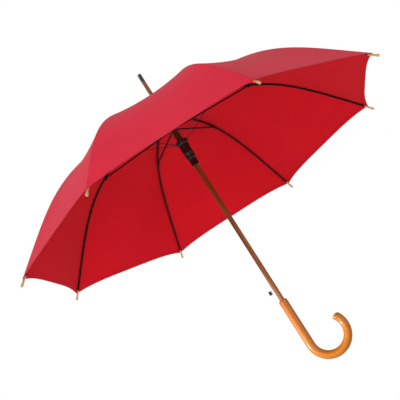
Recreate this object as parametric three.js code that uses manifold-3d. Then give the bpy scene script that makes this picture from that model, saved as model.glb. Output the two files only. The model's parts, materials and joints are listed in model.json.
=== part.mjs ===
// Stick umbrella with an automatic runner, open. Millimetres, +Z up along the shaft.
// The origin is on the shaft's axis at the middle of the straight grip; the crook bends towards +X.
import * as THREE from 'three';
import { mergeVertices } from 'three/addons/utils/BufferGeometryUtils.js';
import Module from 'manifold-3d';

const wasm = await Module();
wasm.setup();

// ---- Driving dimensions ------------------------------------------------------------------

const RIB_COUNT = 8;
const RIB_SPACING = 2 * Math.PI / RIB_COUNT;
const FIRST_RIB_AZIMUTH = THREE.MathUtils.degToRad(-16.92);

// Shaft, handle and ferrule
const SHAFT_RADIUS = 6.25;
const FERRULE_BASE_RADIUS = 5.8;
const FERRULE_END_RADIUS = 5.0;
const FERRULE_BASE_Z = 616;
const FERRULE_TOP_Z = 743;
const FERRULE_CAP_TOP_Z = 766;
const FERRULE_CAP_RADIUS = 5.2;
const SPIGOT_RADIUS = 3.6;
const SPIGOT_LENGTH = 16;
const HANDLE_TOP_Z = 62.6;
const HANDLE_RADIUS = 11;
const CROOK_END_RADIUS = 10;
const CROOK_START_Z = -63.3;
const CROOK_BEND_RADIUS = 48;
const CROOK_ARC = THREE.MathUtils.degToRad(209);
const CROOK_TIP_ARC = THREE.MathUtils.degToRad(11);
const CROOK_TIP_RADIUS = 3;
const SOCKET_DEPTH = 38;
const GAP = 0.3;
const CROWN_RADIUS = 12.5;
const CROWN_BELOW_PIVOT = 5;
const CROWN_ABOVE_PIVOT = 6;
const CANOPY_CAP_RADIUS = 13;
const CANOPY_CAP_HEIGHT = 2.8;

// Frame linkage, in the vertical plane of each rib: [distance from the axis, height]
const CROWN_PIVOT = new THREE.Vector2(9, 629.5);
const JOINT_PIVOT = new THREE.Vector2(251, 607.5);
const HUB_PIVOT = new THREE.Vector2(9, 2 * JOINT_PIVOT.y - CROWN_PIVOT.y);
const LINK_ANCHOR = new THREE.Vector2(14, 541);
const LINK_ON_STRETCHER = 95;
const LINK_SIDE_OFFSET = 2.6;
const RIB_END = new THREE.Vector2(530, 390);

// Rib sections
const RIB_SIZE = 3.6;
const RIB_WALL = 0.8;
const STRETCHER_WIDTH = 3.2;
const STRETCHER_HEIGHT = 3.0;
const STRETCHER_WALL = 0.7;
const BLADE_THICKNESS = 1.2;
const TONGUE_THICKNESS = 1.8;
const LINK_RADIUS = 0.7;
const RIB_RISE_AT_JOINT = 0.8;
const RIB_SLOPE_AT_JOINT = 18.3;
const RIB_SLOPE_AT_END = 44.8;
const TIP_LENGTH = 28;
const TIP_BORE_RADIUS = 1.7;
const PIN_LENGTH = 11;
const PIN_RADIUS = 1.3;

// Canopy
const CANOPY_APEX_Z = 637.6;
const CANOPY_CORNER = new THREE.Vector2(520.3, 405.3);
const CANOPY_OVER_RIB = 3.0;
const CANOPY_HOLE_RADIUS = 7.5;
const FABRIC_THICKNESS = 0.6;
const PANEL_SAG = 9;
const HEM_SCALLOP = 0.021;

// Runner
const BORE_RADIUS = 6.55;
const HEAD_BOTTOM_Z = 583.2;
const HEAD_TOOTH_TOP_Z = 589.5;
const HEAD_TOP_Z = 597;
const HEAD_RADIUS = 12.5;
const HEAD_NECK_RADIUS = 7.35;
const SLEEVE_BOTTOM_Z = 469.6;
const SLEEVE_STEP_Z = 492;
const SLEEVE_TOP_Z = 546.5;
const SLEEVE_NECK_RADIUS = 10;
const SLEEVE_END_RADIUS = 10.8;
const SLEEVE_LOW_RADIUS = 12.5;
const SLEEVE_HIGH_RADIUS = 13.5;
const FLANGE_HEIGHT = 10;
const FLANGE_RADIUS = 16;
const SPRING_RADIUS = 8.6;
const SPRING_WIRE_RADIUS = 1.2;
const SPRING_TURNS = 13;
const SPRING_POCKET_RADIUS = 10.2;

// Release button, on the side away from the crook
const BUTTON_Z = 92;
const BUTTON_TRAVEL = 2.1;
const BUTTON_FACE_X = -12;
const STEM_HALF_WIDTH = 1.2;
const STEM_SLOT_HALF_WIDTH = 1.5;
const CATCH_STRIP_X = [-5.2, -4.2];
const CATCH_STRIP_LOW_Z = BUTTON_Z - 23;
const CATCH_STRIP_HIGH_Z = BUTTON_Z + 2;
const CATCH_SLOT_X = [-8, -1.7];
const CATCH_SLOT_HALF_WIDTH = 2.8;
const CATCH_SLOT_MARGIN = 1.5;
const HOOK_REACH_X = -6.2;

// ---- Materials ----------------------------------------------------------------------------

function material(color, roughness, metalness) {
  return new THREE.MeshStandardMaterial({ color, roughness, metalness });
}

const fabric = material(0xc41f33, 0.8, 0);
const handleWood = material(0xd98a3a, 0.3, 0);
const shaftWood = material(0x8c4a24, 0.4, 0);
const tipWood = material(0xd9a76c, 0.5, 0);
const blackPlastic = material(0x15151a, 0.4, 0);
const darkSteel = material(0x2a2424, 0.45, 0.7);
const brightSteel = material(0xb8b8bc, 0.3, 1);

// ---- Solids -------------------------------------------------------------------------------

function positionsOnly(geometry) {
  const bare = geometry.clone();
  bare.deleteAttribute('normal');
  bare.deleteAttribute('uv');
  return mergeVertices(bare, 1e-4);
}

function toSolid(geometry) {
  const merged = positionsOnly(outward(geometry));
  const mesh = new wasm.Mesh({
    numProp: 3,
    vertProperties: new Float32Array(merged.attributes.position.array),
    triVerts: new Uint32Array(merged.index.array),
  });
  mesh.merge();
  return new wasm.Manifold(mesh);
}

function toGeometry(solid) {
  const mesh = solid.getMesh();
  const geometry = new THREE.BufferGeometry();
  geometry.setAttribute('position', new THREE.BufferAttribute(mesh.vertProperties.slice(), 3));
  geometry.setIndex(new THREE.BufferAttribute(mesh.triVerts.slice(), 1));
  geometry.computeVertexNormals();
  return geometry;
}

function union(...geometries) {
  return toGeometry(geometries.map(toSolid).reduce((sum, next) => sum.add(next)));
}

function cut(geometry, ...cutters) {
  return toGeometry(cutters.map(toSolid).reduce((rest, next) => rest.subtract(next), toSolid(geometry)));
}

// Turns every face over where the enclosed volume comes out negative.
function outward(geometry) {
  const merged = positionsOnly(geometry);
  const position = merged.attributes.position;
  const index = merged.index;
  const [a, b, c] = [new THREE.Vector3(), new THREE.Vector3(), new THREE.Vector3()];
  const kept = [];
  let volume = 0;
  for (let i = 0; i < index.count; i += 3) {
    const corners = [index.getX(i), index.getX(i + 1), index.getX(i + 2)];
    if (new Set(corners).size < 3) continue;
    kept.push(corners);
    a.fromBufferAttribute(position, corners[0]);
    b.fromBufferAttribute(position, corners[1]);
    c.fromBufferAttribute(position, corners[2]);
    volume += a.dot(b.cross(c));
  }
  if (volume < 0) kept.forEach((corners) => corners.reverse());
  merged.setIndex(kept.flat());
  merged.computeVertexNormals();
  return merged;
}

// A box between two opposite corners.
function box(low, high) {
  const size = high.map((value, i) => value - low[i]);
  const geometry = new THREE.BoxGeometry(...size);
  geometry.translate(...high.map((value, i) => (value + low[i]) / 2));
  return geometry;
}

// A solid turned round the shaft's axis, from [radius, height] points.
function turned(profile, segments = 24) {
  const points = profile.map(([radius, z]) => new THREE.Vector2(radius, z));
  const geometry = new THREE.LatheGeometry(points, segments);
  geometry.rotateX(Math.PI / 2);
  return outward(geometry);
}

function tube(inner, outer, low, high, segments = 24) {
  return turned([[inner, low], [outer, low], [outer, high], [inner, high], [inner, low]], segments);
}

// A plate in the rib's plane: an outline of [distance, height] points, centred on `side`.
function plate(outline, thickness, side = 0) {
  const shape = new THREE.Shape(outline.map(([x, z]) => new THREE.Vector2(x, z)));
  const geometry = new THREE.ExtrudeGeometry(shape, { depth: thickness, bevelEnabled: false });
  geometry.rotateX(Math.PI / 2);
  geometry.translate(0, side + thickness / 2, 0);
  return outward(geometry);
}

// A bar between two points of the rib's plane, with a round end of the same height at the first.
function blade(from, to, height, thickness) {
  const along = new THREE.Vector2().subVectors(to, from).normalize();
  const across = new THREE.Vector2(-along.y, along.x).multiplyScalar(height / 2);
  const start = Math.atan2(across.y, across.x);
  const outline = [];
  for (let i = 0; i <= 6; i++) {
    const angle = start + Math.PI * i / 6;
    outline.push([from.x + Math.cos(angle) * height / 2, from.y + Math.sin(angle) * height / 2]);
  }
  outline.push([to.x - across.x, to.y - across.y], [to.x + across.x, to.y + across.y]);
  return plate(outline, thickness);
}

function anticlockwise(section) {
  const clockwise = THREE.ShapeUtils.isClockWise(section.map(([a, b]) => new THREE.Vector2(a, b)));
  return clockwise ? section.slice().reverse() : section;
}

// A section swept through frames. Each frame has an origin and the section's two directions.
function sweep(sectionAt, frames) {
  const positions = [];
  const index = [];
  const sections = frames.map((frame, i) => anticlockwise(sectionAt(i / (frames.length - 1))));
  const count = sections[0].length;
  frames.forEach(({ origin, u, v }, i) => {
    for (const [a, b] of sections[i]) {
      const point = origin.clone().addScaledVector(u, a).addScaledVector(v, b);
      positions.push(point.x, point.y, point.z);
    }
  });
  for (let i = 0; i + 1 < frames.length; i++) {
    for (let j = 0; j < count; j++) {
      const k = (j + 1) % count;
      const [a, b, c, d] = [i * count + j, i * count + k, (i + 1) * count + k, (i + 1) * count + j];
      index.push(a, b, c, a, c, d);
    }
  }
  const last = (frames.length - 1) * count;
  const outline = sections[0].map(([a, b]) => new THREE.Vector2(a, b));
  for (const [a, b, c] of THREE.ShapeUtils.triangulateShape(outline, [])) {
    index.push(c, b, a, last + a, last + b, last + c);
  }
  const geometry = new THREE.BufferGeometry();
  geometry.setAttribute('position', new THREE.Float32BufferAttribute(positions, 3));
  geometry.setIndex(index);
  return outward(geometry);
}

// Frames along a curve of the rib's plane: u is sideways, v is up from the curve.
function planarFrames(points) {
  return points.map((point, i) => {
    const before = points[Math.max(i - 1, 0)];
    const after = points[Math.min(i + 1, points.length - 1)];
    const tangent = new THREE.Vector2().subVectors(after, before).normalize();
    return {
      origin: new THREE.Vector3(point.x, 0, point.y),
      u: new THREE.Vector3(0, 1, 0),
      v: new THREE.Vector3(-tangent.y, 0, tangent.x),
    };
  });
}

// A channel section, open below.
function channel(width, height, wall) {
  const [w, h] = [width / 2, height / 2];
  return [[-w, -h], [-w, h], [w, h], [w, -h], [w - wall, -h], [w - wall, h - wall], [-w + wall, h - wall],
    [-w + wall, -h]];
}

function circle(radius, sides) {
  const section = [];
  for (let i = 0; i < sides; i++) {
    const angle = 2 * Math.PI * i / sides;
    section.push([radius * Math.cos(angle), radius * Math.sin(angle)]);
  }
  return section;
}

// ---- Curves of the rib's plane ------------------------------------------------------------

function onLine(from, to, distance) {
  const along = new THREE.Vector2().subVectors(to, from).normalize();
  return from.clone().addScaledVector(along, distance);
}

function slope(point, degrees, distance) {
  const angle = THREE.MathUtils.degToRad(degrees);
  return new THREE.Vector2(point.x + distance * Math.cos(angle), point.y - distance * Math.sin(angle));
}

// Points along one stretch of a curve, by its parameter.
function stretch(curve, from, to, steps) {
  const points = [];
  for (let i = 0; i <= steps; i++) points.push(curve.getPoint(THREE.MathUtils.lerp(from, to, i / steps)));
  return points;
}

const ribAtJoint = new THREE.Vector2(JOINT_PIVOT.x, JOINT_PIVOT.y + RIB_RISE_AT_JOINT);

const innerRibCurve = new THREE.CubicBezierCurve(
  CROWN_PIVOT,
  new THREE.Vector2(78, 635.4),
  slope(ribAtJoint, RIB_SLOPE_AT_JOINT, -70),
  ribAtJoint,
);
const outerRibCurve = new THREE.CubicBezierCurve(
  ribAtJoint,
  slope(ribAtJoint, RIB_SLOPE_AT_JOINT, 108),
  slope(RIB_END, RIB_SLOPE_AT_END, -165),
  RIB_END,
);

// The fabric's line over a rib, from the shaft to the canopy's corner.
const fabricAtJoint = new THREE.Vector2(JOINT_PIVOT.x + 0.9, ribAtJoint.y + CANOPY_OVER_RIB + 0.8);
const innerFabricCurve = new THREE.CubicBezierCurve(
  new THREE.Vector2(0, CANOPY_APEX_Z),
  new THREE.Vector2(92, CANOPY_APEX_Z + 0.8),
  slope(fabricAtJoint, RIB_SLOPE_AT_JOINT, -72),
  fabricAtJoint,
);
const outerFabricCurve = new THREE.CubicBezierCurve(
  fabricAtJoint,
  slope(fabricAtJoint, RIB_SLOPE_AT_JOINT, 112),
  slope(CANOPY_CORNER, RIB_SLOPE_AT_END, -152),
  CANOPY_CORNER,
);
const fabricLine = new THREE.CurvePath();
fabricLine.add(innerFabricCurve);
fabricLine.add(outerFabricCurve);

// ---- Fixed pieces -------------------------------------------------------------------------

function shaft() {
  const rod = turned([
    [0, HANDLE_TOP_Z - SOCKET_DEPTH + GAP],
    [SHAFT_RADIUS, HANDLE_TOP_Z - SOCKET_DEPTH + GAP],
    [SHAFT_RADIUS, FERRULE_BASE_Z - 4],
    [FERRULE_BASE_RADIUS, FERRULE_BASE_Z],
    [FERRULE_END_RADIUS, FERRULE_TOP_Z - 1],
    [FERRULE_END_RADIUS - 0.7, FERRULE_TOP_Z - GAP],
    [SPIGOT_RADIUS, FERRULE_TOP_Z - GAP],
    [SPIGOT_RADIUS, FERRULE_TOP_Z + SPIGOT_LENGTH],
    [0, FERRULE_TOP_Z + SPIGOT_LENGTH],
  ]);
  const catchSlot = box(
    [CATCH_SLOT_X[0], -CATCH_SLOT_HALF_WIDTH, CATCH_STRIP_LOW_Z - CATCH_SLOT_MARGIN],
    [CATCH_SLOT_X[1], CATCH_SLOT_HALF_WIDTH, CATCH_STRIP_HIGH_Z + CATCH_SLOT_MARGIN],
  );
  return cut(rod, catchSlot);
}

function handle() {
  const bendCentre = new THREE.Vector3(CROOK_BEND_RADIUS, 0, CROOK_START_Z);
  const side = new THREE.Vector3(0, 1, 0);
  const frames = [];
  const radii = [];
  const rounding = [[0, 3.2], [1, 1.3], [3, 0.2], [7, 0]];
  for (const [drop, inset] of rounding) {
    const origin = new THREE.Vector3(0, 0, HANDLE_TOP_Z - drop);
    frames.push({ origin, u: new THREE.Vector3(1, 0, 0), v: side });
    radii.push(HANDLE_RADIUS - inset);
  }
  const steps = 22;
  for (let i = 0; i <= steps; i++) {
    const angle = CROOK_ARC * i / steps;
    const towardsShaft = new THREE.Vector3(-Math.cos(angle), 0, -Math.sin(angle));
    const origin = bendCentre.clone().addScaledVector(towardsShaft, CROOK_BEND_RADIUS);
    frames.push({ origin, u: towardsShaft.clone().negate(), v: side });
    radii.push(THREE.MathUtils.lerp(HANDLE_RADIUS, CROOK_END_RADIUS, i / steps));
  }
  // The end is rounded over from the outside of the bend and stays full along the inside.
  const tipSteps = 6;
  for (let i = 1; i <= tipSteps; i++) {
    const turn = Math.PI / 2 * i / tipSteps;
    const angle = CROOK_ARC + CROOK_TIP_ARC * Math.sin(turn);
    const radius = CROOK_TIP_RADIUS + (CROOK_END_RADIUS - CROOK_TIP_RADIUS) * Math.cos(turn);
    const towardsShaft = new THREE.Vector3(-Math.cos(angle), 0, -Math.sin(angle));
    const bend = CROOK_BEND_RADIUS - CROOK_END_RADIUS + radius;
    const origin = bendCentre.clone().addScaledVector(towardsShaft, bend);
    frames.push({ origin, u: towardsShaft.clone().negate(), v: side });
    radii.push(radius);
  }
  const body = sweep((share) => circle(radii[Math.round(share * (frames.length - 1))], 18), frames);
  const socket = turned([
    [0, HANDLE_TOP_Z - SOCKET_DEPTH],
    [BORE_RADIUS, HANDLE_TOP_Z - SOCKET_DEPTH],
    [BORE_RADIUS, HANDLE_TOP_Z + 5],
    [0, HANDLE_TOP_Z + 5],
  ]);
  return cut(body, socket);
}

function ferruleCap() {
  return turned([
    [SPIGOT_RADIUS + GAP, FERRULE_TOP_Z],
    [FERRULE_CAP_RADIUS, FERRULE_TOP_Z],
    [FERRULE_CAP_RADIUS, FERRULE_CAP_TOP_Z - 1.2],
    [FERRULE_CAP_RADIUS - 1, FERRULE_CAP_TOP_Z],
    [0, FERRULE_CAP_TOP_Z],
    [0, FERRULE_TOP_Z + SPIGOT_LENGTH + 2],
    [SPIGOT_RADIUS + GAP, FERRULE_TOP_Z + SPIGOT_LENGTH + 2],
    [SPIGOT_RADIUS + GAP, FERRULE_TOP_Z],
  ]);
}

// One cutter for each rib: a block reaching out from `inner`, beside the rib's plane.
function ribSlots(inner, outer, width, low, high, side = 0) {
  const slots = [];
  for (let i = 0; i < RIB_COUNT; i++) {
    const slot = box([inner, side - width / 2, low], [outer, side + width / 2, high]);
    slot.rotateZ(FIRST_RIB_AZIMUTH + i * RIB_SPACING);
    slots.push(slot);
  }
  return slots;
}

function crown() {
  const [low, high] = [CROWN_PIVOT.y - CROWN_BELOW_PIVOT, CROWN_PIVOT.y + CROWN_ABOVE_PIVOT];
  const boss = tube(FERRULE_BASE_RADIUS + GAP, CROWN_RADIUS, low, high);
  return cut(boss, ...ribSlots(7, 20, TONGUE_THICKNESS + 0.8, low - 4, CROWN_PIVOT.y + 2.5));
}

function canopyCap() {
  const bore = FERRULE_BASE_RADIUS + GAP;
  const low = CANOPY_APEX_Z + 0.8;
  const high = low + CANOPY_CAP_HEIGHT;
  return turned([
    [bore, low],
    [CANOPY_CAP_RADIUS, low],
    [CANOPY_CAP_RADIUS - 0.6, low + 1.2],
    [bore + 1.9, high],
    [bore, high],
    [bore, low],
  ]);
}

// ---- Canopy frame -------------------------------------------------------------------------

function cheek(side) {
  const [x, z] = [JOINT_PIVOT.x, JOINT_PIVOT.y];
  const fall = Math.tan(THREE.MathUtils.degToRad(RIB_SLOPE_AT_JOINT));
  const outline = [[x - 8, z - 1.5 + 8 * fall], [x - 2, z - 4.2], [x + 2, z - 4.4], [x + 4.5, z - 2.5],
    [x + 4.5, z + 2.4 - 4.5 * fall], [x - 8, z + 2.4 + 8 * fall]];
  return plate(outline, 0.8, side * 2.5);
}

function innerRib() {
  const points = stretch(innerRibCurve, 0.07, 1, 10);
  points[points.length - 1] = slope(ribAtJoint, RIB_SLOPE_AT_JOINT, -GAP);
  const bar = sweep(() => channel(RIB_SIZE, RIB_SIZE, RIB_WALL), planarFrames(points));
  const tongueEnd = onLine(CROWN_PIVOT, innerRibCurve.getPoint(0.12), 18);
  const tongue = blade(CROWN_PIVOT, tongueEnd, RIB_SIZE, TONGUE_THICKNESS);
  const pads = [-1, 1].map((side) => {
    const x = JOINT_PIVOT.x - 7;
    const z = ribAtJoint.y + 2.2;
    return box([x, side * 1.95 - 0.35, z - 0.5], [x + 4, side * 1.95 + 0.35, z + 0.5]);
  });
  return union(bar, tongue, cheek(-1), cheek(1), ...pads);
}

const endDirection = slope(new THREE.Vector2(), RIB_SLOPE_AT_END, 1);
const tipStart = RIB_END.clone().addScaledVector(endDirection, -TIP_LENGTH);

function outerRib() {
  const reach = stretch(outerRibCurve, 0, 0.9, 9);
  reach[0] = slope(ribAtJoint, RIB_SLOPE_AT_JOINT, GAP);
  reach.push(tipStart.clone().addScaledVector(endDirection, -GAP));
  const bar = sweep(() => channel(RIB_SIZE, RIB_SIZE, RIB_WALL), planarFrames(reach));
  const pinStart = tipStart.clone().addScaledVector(endDirection, -4);
  const pinEnd = tipStart.clone().addScaledVector(endDirection, PIN_LENGTH);
  const pin = sweep(() => circle(PIN_RADIUS, 6), planarFrames([pinStart, pinEnd]));
  const plug = sweep(() => [[-1.5, -1.2], [-1.5, 1.2], [1.5, 1.2], [1.5, -1.2]], planarFrames([
    pinStart,
    tipStart.clone().addScaledVector(endDirection, -1),
  ]));
  return union(bar, plug, pin);
}

function ribTip() {
  const outside = [
    [2.5, 0], [2.5, 13], [2.8, 18.5], [3.3, 22], [3.2, 26], [2.4, TIP_LENGTH], [0, TIP_LENGTH],
  ];
  const bore = [[0, PIN_LENGTH + 1], [TIP_BORE_RADIUS, PIN_LENGTH + 1], [TIP_BORE_RADIUS, 0]];
  const profile = [[TIP_BORE_RADIUS, 0], ...outside, ...bore];
  const tip = turned(profile, 10);
  tip.rotateY(Math.PI / 2 + THREE.MathUtils.degToRad(RIB_SLOPE_AT_END));
  tip.translate(tipStart.x, 0, tipStart.y);
  return tip;
}

function stretcher() {
  const bladeLength = 14;
  const bladeHeight = 2.6;
  const length = HUB_PIVOT.distanceTo(JOINT_PIVOT);
  const inner = onLine(HUB_PIVOT, JOINT_PIVOT, bladeLength - 3);
  const outer = onLine(HUB_PIVOT, JOINT_PIVOT, length - bladeLength + 1);
  const section = channel(STRETCHER_WIDTH, STRETCHER_HEIGHT, STRETCHER_WALL);
  const bar = sweep(() => section, planarFrames([inner, outer]));
  const hubBladeEnd = onLine(HUB_PIVOT, JOINT_PIVOT, bladeLength + 2);
  const jointBladeEnd = onLine(JOINT_PIVOT, HUB_PIVOT, bladeLength + 2);
  const hubBlade = blade(HUB_PIVOT, hubBladeEnd, bladeHeight, BLADE_THICKNESS);
  const jointBlade = blade(JOINT_PIVOT, jointBladeEnd, bladeHeight, BLADE_THICKNESS);
  return union(bar, hubBlade, jointBlade);
}

const linkOnStretcher = onLine(HUB_PIVOT, JOINT_PIVOT, LINK_ON_STRETCHER);

function linkWire() {
  const wire = sweep(() => circle(LINK_RADIUS, 8), planarFrames([LINK_ANCHOR, linkOnStretcher]));
  wire.translate(0, LINK_SIDE_OFFSET, 0);
  return wire;
}

// ---- Runner -------------------------------------------------------------------------------

function runnerHead() {
  const body = turned([
    [BORE_RADIUS, HEAD_BOTTOM_Z],
    [HEAD_RADIUS, HEAD_BOTTOM_Z],
    [HEAD_RADIUS, HEAD_TOOTH_TOP_Z],
    [HEAD_NECK_RADIUS, HEAD_TOOTH_TOP_Z + 0.6],
    [HEAD_NECK_RADIUS, HEAD_TOP_Z],
    [BORE_RADIUS, HEAD_TOP_Z],
    [BORE_RADIUS, HEAD_BOTTOM_Z],
  ]);
  const slotFloorZ = HUB_PIVOT.y - 1.65;
  const slotWidth = BLADE_THICKNESS + 0.8;
  return cut(body, ...ribSlots(HEAD_NECK_RADIUS + 0.1, 20, slotWidth, slotFloorZ, HEAD_TOP_Z + 1));
}

function runnerSleeve() {
  const body = turned([
    [BORE_RADIUS, SLEEVE_BOTTOM_Z],
    [SLEEVE_END_RADIUS, SLEEVE_BOTTOM_Z],
    [SLEEVE_END_RADIUS, SLEEVE_BOTTOM_Z + 3],
    [SLEEVE_NECK_RADIUS, SLEEVE_BOTTOM_Z + 4],
    [SLEEVE_NECK_RADIUS, SLEEVE_STEP_Z - 2],
    [SLEEVE_LOW_RADIUS, SLEEVE_STEP_Z],
    [SLEEVE_HIGH_RADIUS, SLEEVE_TOP_Z - FLANGE_HEIGHT - 2],
    [FLANGE_RADIUS, SLEEVE_TOP_Z - FLANGE_HEIGHT],
    [FLANGE_RADIUS, SLEEVE_TOP_Z - 1],
    [FLANGE_RADIUS - 1, SLEEVE_TOP_Z],
    [SPRING_POCKET_RADIUS, SLEEVE_TOP_Z],
    [SPRING_POCKET_RADIUS, SLEEVE_STEP_Z + 2],
    [BORE_RADIUS, SLEEVE_STEP_Z + 2],
    [BORE_RADIUS, SLEEVE_BOTTOM_Z],
  ]);
  const wireSlots = ribSlots(12.4, 20, 2.2, LINK_ANCHOR.y - 2.5, SLEEVE_TOP_Z + 1, LINK_SIDE_OFFSET);
  const stemSlot = box(
    [-12, -STEM_SLOT_HALF_WIDTH, SLEEVE_BOTTOM_Z - 1],
    [-5, STEM_SLOT_HALF_WIDTH, SLEEVE_BOTTOM_Z + 33],
  );
  const hookWindow = box([-12, -2.8, SLEEVE_BOTTOM_Z + 6.5], [-5, 2.8, SLEEVE_BOTTOM_Z + 15]);
  const buttonNotch = box([-20, -3.9, SLEEVE_STEP_Z - 3], [-9.5, 3.9, SLEEVE_BOTTOM_Z + 36]);
  return cut(body, ...wireSlots, stemSlot, hookWindow, buttonNotch);
}

function openingSpring() {
  const low = SLEEVE_STEP_Z + 2 + GAP + SPRING_WIRE_RADIUS;
  const high = HEAD_BOTTOM_Z - GAP - SPRING_WIRE_RADIUS;
  const perTurn = 10;
  const frames = [];
  for (let i = 0; i <= SPRING_TURNS * perTurn; i++) {
    const angle = 2 * Math.PI * i / perTurn;
    const out = new THREE.Vector3(Math.cos(angle), Math.sin(angle), 0);
    const origin = out.clone().multiplyScalar(SPRING_RADIUS);
    origin.z = THREE.MathUtils.lerp(low, high, i / (SPRING_TURNS * perTurn));
    frames.push({ origin, u: out, v: new THREE.Vector3(0, 0, 1) });
  }
  return sweep(() => circle(SPRING_WIRE_RADIUS, 5), frames);
}

// ---- Release button -----------------------------------------------------------------------

function releaseButton() {
  const [width, height, depth, bevel] = [7, 9.4, 7.4, 0.8];
  const [w, h] = [width / 2 - bevel, height / 2 - bevel];
  const outline = [[-w, -h], [w, -h], [w, h], [-w, h]].map(([x, y]) => new THREE.Vector2(x, y));
  const block = new THREE.ExtrudeGeometry(new THREE.Shape(outline), {
    depth: depth - 2 * bevel,
    bevelThickness: bevel,
    bevelSize: bevel,
    bevelSegments: 2,
  });
  block.rotateX(Math.PI / 2);
  block.rotateZ(-Math.PI / 2);
  block.translate(BUTTON_FACE_X - bevel, 0, BUTTON_Z);
  const stemHole = box(
    [BUTTON_FACE_X - 1.5, -STEM_HALF_WIDTH - GAP, BUTTON_Z - 0.9],
    [BUTTON_FACE_X + 2, STEM_HALF_WIDTH + GAP, BUTTON_Z + 0.9],
  );
  return cut(outward(block), stemHole);
}

// The stem, the catch strip behind it and the catch hook below it, as wide as the sleeve's slot lets through.
function buttonStem() {
  const [back, front] = CATCH_STRIP_X;
  const [w, low] = [STEM_HALF_WIDTH, CATCH_STRIP_LOW_Z];
  const stem = box([BUTTON_FACE_X - 1.2, -w, BUTTON_Z - 0.6], [back + 0.8, w, BUTTON_Z + 0.6]);
  const strip = box([back, -w, low], [front, w, CATCH_STRIP_HIGH_Z]);
  const hook = box([HOOK_REACH_X - BUTTON_TRAVEL, -w, low + 1], [front - 0.4, w, low + 4]);
  return union(stem, strip, hook);
}

// ---- Canopy -------------------------------------------------------------------------------

// A point of one gore's middle surface, in the frame where the gore's middle lies along +X.
// `along` runs from the shaft to the hem, and `across` from -1 to 1 between the two ribs.
function gorePoint(along, across) {
  const start = CANOPY_HOLE_RADIUS / Math.cos(RIB_SPACING / 2) / fabricLine.getLength();
  const hem = 1 - HEM_SCALLOP * (1 - across ** 4);
  const share = THREE.MathUtils.lerp(start, hem, along);
  const line = fabricLine.getPointAt(Math.min(share, 1));
  const half = RIB_SPACING / 2;
  const width = Math.max(line.x * Math.sin(half) - 0.35, 0.5);
  const sag = PANEL_SAG * Math.sin(Math.PI * Math.min(share, 1)) * (1 - across ** 2);
  return new THREE.Vector3(line.x * Math.cos(half), across * width, line.y)
    .addScaledVector(goreNormal(share), -sag);
}

function goreNormal(share) {
  const tangent = fabricLine.getTangentAt(Math.min(share, 1));
  return new THREE.Vector3(-tangent.y * Math.cos(RIB_SPACING / 2), 0, tangent.x).normalize();
}

// A thin closed skin over a grid of points, `thickness` through, `lift` above the points.
function skin(pointAt, rows, columns, thickness, lift) {
  const positions = [];
  const index = [];
  const step = 1e-3;
  for (const offset of [lift - thickness / 2, lift + thickness / 2]) {
    for (let i = 0; i <= rows; i++) {
      for (let j = 0; j <= columns; j++) {
        const [s, t] = [i / rows, j / columns];
        const point = pointAt(s, t);
        const ds = pointAt(Math.min(s + step, 1), t).sub(pointAt(Math.max(s - step, 0), t));
        const dt = pointAt(s, Math.min(t + step, 1)).sub(pointAt(s, Math.max(t - step, 0)));
        point.addScaledVector(ds.cross(dt).normalize(), offset);
        positions.push(point.x, point.y, point.z);
      }
    }
  }
  const layer = (rows + 1) * (columns + 1);
  const at = (side, i, j) => side * layer + i * (columns + 1) + j;
  const quad = (a, b, c, d) => index.push(a, b, c, a, c, d);
  for (let i = 0; i < rows; i++) {
    for (let j = 0; j < columns; j++) {
      quad(at(1, i, j), at(1, i + 1, j), at(1, i + 1, j + 1), at(1, i, j + 1));
      quad(at(0, i, j), at(0, i, j + 1), at(0, i + 1, j + 1), at(0, i + 1, j));
    }
    quad(at(0, i, 0), at(0, i + 1, 0), at(1, i + 1, 0), at(1, i, 0));
    quad(at(0, i + 1, columns), at(0, i, columns), at(1, i, columns), at(1, i + 1, columns));
  }
  for (let j = 0; j < columns; j++) {
    quad(at(0, 0, j + 1), at(0, 0, j), at(1, 0, j), at(1, 0, j + 1));
    quad(at(0, rows, j), at(0, rows, j + 1), at(1, rows, j + 1), at(1, rows, j));
  }
  const geometry = new THREE.BufferGeometry();
  geometry.setAttribute('position', new THREE.Float32BufferAttribute(positions, 3));
  geometry.setIndex(index);
  return outward(geometry);
}

function canopyPanel() {
  const [rows, columns] = [11, 4];
  return skin((s, t) => gorePoint(s, 2 * t - 1), rows, columns, FABRIC_THICKNESS, 0);
}

// The strap lies on its gore beside a seam, sewn at its upper end.
function closureStrap() {
  const [start, end] = [0.56, 0.86];
  const [offset, halfWidth] = [-0.3, 10];
  const [thickness, lift] = [1, 1.6];
  const pointAt = (s, t) => {
    const along = THREE.MathUtils.lerp(start, end, s);
    const width = gorePoint(along, 1).y;
    const middle = gorePoint(start, 1).y * offset;
    return gorePoint(along, (middle + (2 * t - 1) * halfWidth) / width);
  };
  return skin(pointAt, 6, 2, thickness, FABRIC_THICKNESS / 2 + lift);
}

// ---- Assembly -----------------------------------------------------------------------------

const umbrella = new THREE.Group();

function place(name, geometry, surface, azimuth = 0) {
  const mesh = new THREE.Mesh(geometry, surface);
  mesh.name = name;
  mesh.rotation.z = azimuth;
  umbrella.add(mesh);
}

place('shaft', shaft(), shaftWood);
place('handle', handle(), handleWood);
place('ferrule_cap', ferruleCap(), blackPlastic);
place('crown', crown(), blackPlastic);
place('canopy_cap', canopyCap(), fabric);
place('runner_head', runnerHead(), blackPlastic);
place('runner_sleeve', runnerSleeve(), blackPlastic);
place('opening_spring', openingSpring(), darkSteel);
place('release_button', releaseButton(), blackPlastic);
place('button_stem', buttonStem(), brightSteel);

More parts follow.
